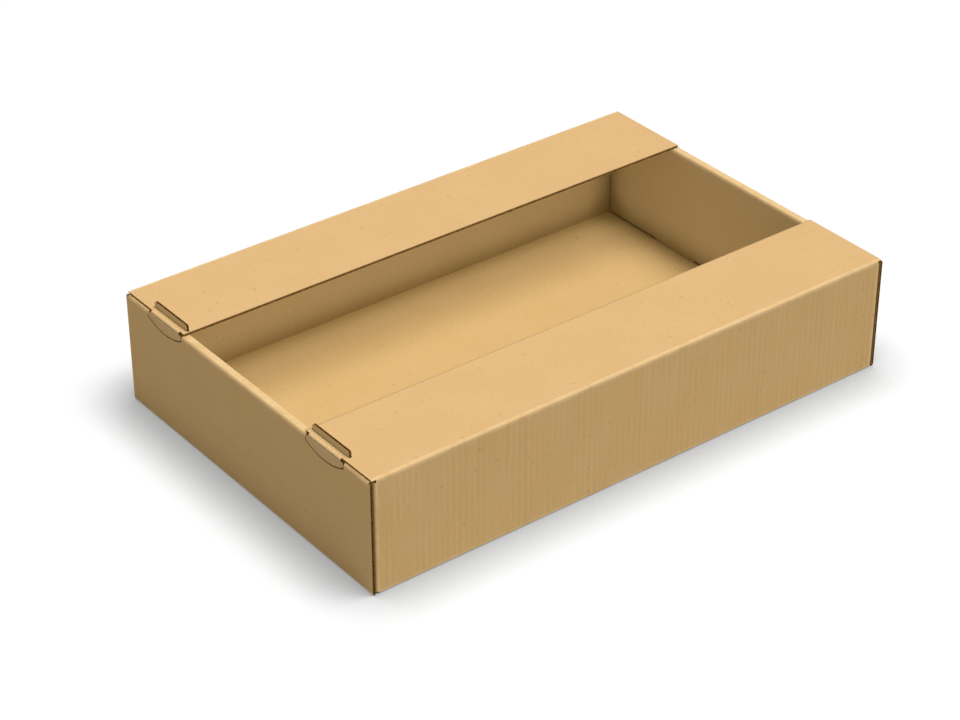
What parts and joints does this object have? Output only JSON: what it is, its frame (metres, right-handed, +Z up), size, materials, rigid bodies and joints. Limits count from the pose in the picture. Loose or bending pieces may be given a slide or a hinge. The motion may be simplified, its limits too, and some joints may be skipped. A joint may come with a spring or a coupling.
{
  "type": "display box",
  "caption": "Shallow folded corrugated display tray with rolled ends and narrow hinged top flaps that tuck over the rim and leave the middle open.",
  "frame": {"origin": "centre of the underside, on the surface that the box stands on", "axes": "+X along the length, with the two flap locks at the -X end; +Y to the rear long wall; +Z up"},
  "size_m": [0.4, 0.26, 0.084],
  "materials": {
    "tray_board": "plain brown kraft liner, matt, with faint flute lines",
    "flap_board": "plain brown kraft liner, matt, with faint flute lines"
  },
  "bodies": {
    "tray": {"tray": "tray_board"},
    "front_flap": {"front_flap": "flap_board"},
    "rear_flap": {"rear_flap": "flap_board"}
  },
  "joints": [
    {"name": "front_flap_hinge", "type": "hinge", "parent": "tray", "child": "front_flap", "pos_m": [0, -0.12947, 0.07947], "axis": [1, 0, 0], "range_deg": [0, 175]},
    {"name": "rear_flap_hinge", "type": "hinge", "parent": "tray", "child": "rear_flap", "pos_m": [0, 0.12947, 0.07947], "axis": [-1, 0, 0], "range_deg": [0, 175]}
  ]
}
